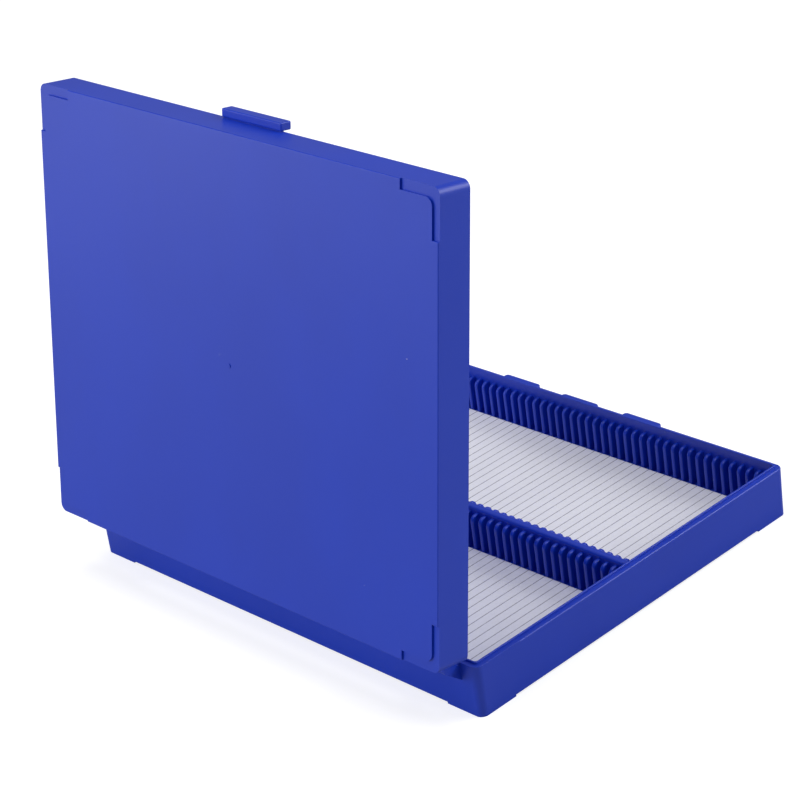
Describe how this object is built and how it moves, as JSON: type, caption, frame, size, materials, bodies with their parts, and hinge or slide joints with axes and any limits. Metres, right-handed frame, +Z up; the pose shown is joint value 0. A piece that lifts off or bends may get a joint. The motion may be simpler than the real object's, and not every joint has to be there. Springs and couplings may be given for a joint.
{
  "type": "microscope slide storage box",
  "caption": "Flat hinged plastic box for microscope slides: tray with two rows of ribbed slots over lined floors, shallow lid with a latch tab, shown open.",
  "frame": {"origin": "bottom centre of the open box's bounding box, on the plane of the feet", "axes": "+X along the hinge, +Y from the latch wall towards the hinge, +Z up"},
  "size_m": [0.208, 0.1878, 0.1948],
  "materials": {
    "tray_plastic": "satin royal blue ABS with a faint moulded texture",
    "lid_plastic": "satin royal blue ABS with a faint moulded texture",
    "pin_steel": "nickel-plated wire",
    "liner_card": "matt off-white card with fine printed lines"
  },
  "bodies": {
    "tray": {"base_tray": "tray_plastic", "hinge_pin_left": "pin_steel", "hinge_pin_right": "pin_steel", "liner_front_row": "liner_card", "liner_rear_row": "liner_card"},
    "lid": {"lid_shell": "lid_plastic"}
  },
  "joints": [
    {"name": "lid_hinge", "type": "hinge", "parent": "tray", "child": "lid", "pos_m": [0, 0.08087, 0.02089], "axis": [-1, 0, 0], "range_deg": [-80, 100]}
  ]
}
